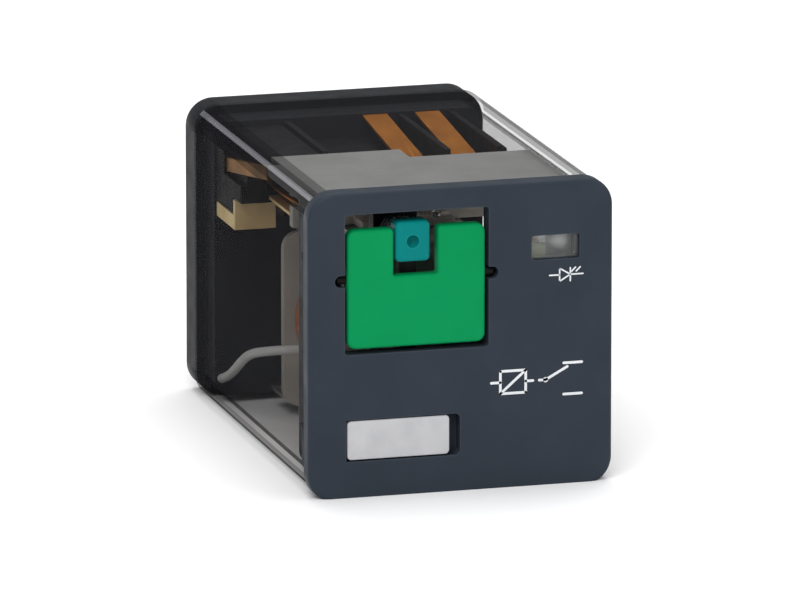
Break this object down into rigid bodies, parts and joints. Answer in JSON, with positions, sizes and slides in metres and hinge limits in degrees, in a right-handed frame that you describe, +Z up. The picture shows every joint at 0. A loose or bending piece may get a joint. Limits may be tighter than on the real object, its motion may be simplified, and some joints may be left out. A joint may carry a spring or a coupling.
{
  "type": "industrial control relay",
  "caption": "Plug-in power relay with clear smoked cover, keyed pin base, test button, lock-down door and legend tag.",
  "frame": {"origin": "centre of the base's seating face, on the axis of the keyed spigot", "axes": "+X to the right seen from the front, +Y out of the pins into the socket, +Z up with the spigot's key at the bottom"},
  "size_m": [0.0356, 0.0705, 0.0356],
  "materials": {
    "base_black": "satin moulded",
    "pin_plating": "bright nickel plate",
    "smoked_cover": "clear smoked polycarbonate",
    "plate_grey": "fine moulded texture",
    "clear_lens": "clear polycarbonate",
    "carrier_light": "satin moulded",
    "relay_iron": "zinc plated",
    "bobbin_ivory": "satin moulded",
    "copper_wire": "enamelled copper",
    "coil_tape": "polyester tape",
    "tinned_brass": "tinned",
    "lead_insulation": "PVC insulation",
    "phosphor_bronze": "rolled strip",
    "contact_brass": "rolled strip",
    "contact_silver": "silver alloy",
    "board_laminate": "solder mask",
    "led_epoxy": "water clear epoxy",
    "resistor_body": "lacquered",
    "diode_body": "moulded epoxy",
    "spring_steel": "drawn wire",
    "button_blue": "moulded",
    "door_green": "moulded",
    "tag_white": "printable card"
  },
  "bodies": {
    "housing": {"base": "base_black", "contact_block": "base_black", "arc_shield": "base_black", "plug_pin_1": "pin_plating", "plug_pin_2": "pin_plating", "plug_pin_3": "pin_plating", "plug_pin_4": "pin_plating", "plug_pin_5": "pin_plating", "plug_pin_6": "pin_plating", "plug_pin_7": "pin_plating", "plug_pin_8": "pin_plating", "plug_pin_9": "pin_plating", "plug_pin_10": "pin_plating", "plug_pin_11": "pin_plating", "cover": "smoked_cover", "front_plate": "plate_grey", "window_lens": "clear_lens", "carrier": "carrier_light", "yoke": "relay_iron", "core": "relay_iron", "bobbin": "bobbin_ivory", "coil_winding": "copper_wire", "coil_tape": "coil_tape", "coil_terminals": "tinned_brass", "coil_leads": "lead_insulation", "indicator_lead": "lead_insulation", "no_strip_1": "phosphor_bronze", "no_strip_2": "phosphor_bronze", "no_strip_3": "phosphor_bronze", "nc_strip_1": "contact_brass", "nc_strip_2": "contact_brass", "nc_strip_3": "contact_brass", "common_strap_left": "contact_brass", "common_strap_right": "contact_brass", "common_strap_centre": "contact_brass", "feed_strap_left": "contact_brass", "no_rivets": "contact_silver", "nc_rivets": "contact_silver", "indicator_board": "board_laminate", "indicator_led": "led_epoxy", "indicator_resistor": "resistor_body", "indicator_diode": "diode_body", "armature_spring": "spring_steel", "button_spring": "spring_steel"},
    "armature": {"armature": "relay_iron", "lifter_card": "carrier_light", "armature_rivets": "spring_steel"},
    "contact_blades": {"moving_blade_1": "phosphor_bronze", "moving_blade_2": "phosphor_bronze", "moving_blade_3": "phosphor_bronze", "blade_rivets": "contact_silver"},
    "flag": {"flag": "carrier_light"},
    "test_button": {"test_button": "button_blue"},
    "lock_door": {"lock_door": "door_green"},
    "legend_tag": {"legend_tag": "tag_white"}
  },
  "joints": [
    {"name": "armature_tilt", "type": "hinge", "parent": "housing", "child": "armature", "pos_m": [0, -0.0401, 0.00695], "axis": [1, 0, 0], "range_deg": [0, 7], "stiffness_Nm_per_rad": 0.02, "springref_deg": -5.73, "deforming": ["armature_spring"]},
    {"name": "contact_blades_flex", "type": "hinge", "parent": "housing", "child": "contact_blades", "pos_m": [0, -0.01, 0.011], "axis": [1, 0, 0], "range_deg": [-3.4, 0]},
    {"name": "flag_slide", "type": "slide", "parent": "housing", "child": "flag", "axis": [0, 0, 1], "range_m": [0, 0.0011], "stiffness_N_per_m": 0.01, "springref_m": 0.009},
    {"name": "test_button_press", "type": "slide", "parent": "housing", "child": "test_button", "axis": [0, 1, 0], "range_m": [0, 0.0016], "stiffness_N_per_m": 0.01, "springref_m": -0.001, "deforming": ["button_spring"]},
    {"name": "lock_door_swing", "type": "hinge", "parent": "housing", "child": "lock_door", "pos_m": [0, -0.0549, 0.0076], "axis": [-1, 0, 0], "range_deg": [0, 90]},
    {"name": "legend_tag_pull", "type": "slide", "parent": "housing", "child": "legend_tag", "axis": [0, -1, 0], "range_m": [0, 0.004]}
  ],
  "couplings": [
    {"joint": "contact_blades_flex", "follows": "armature_tilt", "ratio": -0.485},
    {"joint": "flag_slide", "follows": "armature_tilt", "m_per_rad": 0.009004},
    {"joint": "test_button_press", "follows": "armature_tilt", "m_per_rad": 0.013096}
  ]
}
